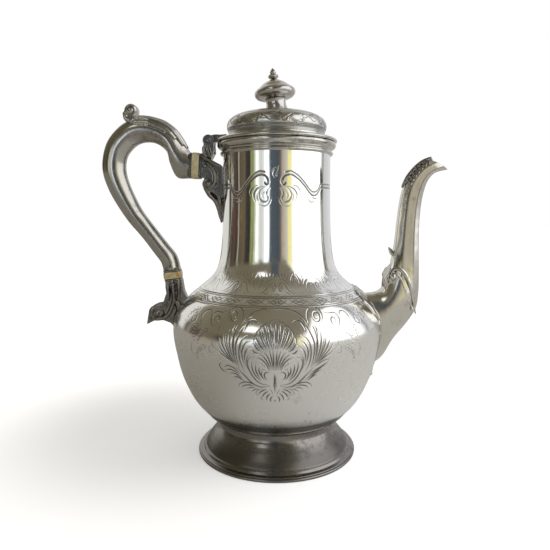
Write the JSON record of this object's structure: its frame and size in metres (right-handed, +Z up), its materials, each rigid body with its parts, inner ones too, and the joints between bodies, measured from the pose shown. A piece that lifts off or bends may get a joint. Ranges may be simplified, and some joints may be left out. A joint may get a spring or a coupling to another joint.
{
  "type": "coffee pot",
  "caption": "Tall silver coffee pot with bulbous engraved body, flared foot, hinged domed lid with finial, kneed spout and C-shaped handle with ivory insulators.",
  "frame": {"origin": "centre of the foot's underside, on the table", "axes": "+Z up, +X towards the spout, -X towards the handle"},
  "size_m": [0.2497, 0.1524, 0.28],
  "materials": {
    "silver_sheet": "worn satin silver plate with fine scratches and engraving",
    "polished_silver": "polished silver plate",
    "cast_silver": "cast silver plate, oxidised in its recesses",
    "tarnished_silver": "brownish tarnished silver plate",
    "ivory": "yellowed ivory, satin",
    "brass": "dull brass"
  },
  "bodies": {
    "pot": {"body_base": "silver_sheet", "body_belly": "silver_sheet", "body_shoulder": "silver_sheet", "body_neck": "silver_sheet", "foot_shell": "tarnished_silver", "foot_rim_wire": "tarnished_silver", "rim_moulding": "polished_silver", "spout_root": "polished_silver", "spout_shaft": "polished_silver", "spout_beak": "polished_silver", "spout_base_leaf": "cast_silver", "spout_knee_scroll": "cast_silver", "spout_tip_leaf": "cast_silver", "upper_handle_socket": "cast_silver", "lower_handle_socket": "cast_silver", "upper_insulator": "ivory", "lower_insulator": "ivory", "handle": "silver_sheet", "handle_thumb_scroll": "cast_silver", "upper_handle_pin": "cast_silver", "upper_socket_pin": "cast_silver", "lower_handle_pin": "cast_silver", "lower_socket_pin": "cast_silver", "hinge_bracket": "cast_silver", "hinge_pin": "cast_silver"},
    "lid": {"lid_cover": "silver_sheet", "lid_flange": "polished_silver", "lid_bezel": "silver_sheet", "lid_hinge_arm": "cast_silver", "finial_stem": "tarnished_silver", "finial_knob": "tarnished_silver", "finial_tip": "tarnished_silver", "finial_rod": "brass", "finial_washer": "brass", "finial_nut": "brass"}
  },
  "joints": [
    {"name": "lid_hinge", "type": "hinge", "parent": "pot", "child": "lid", "pos_m": [-0.0485, 0, 0.2286], "axis": [0, -1, 0], "range_deg": [0, 95]}
  ]
}
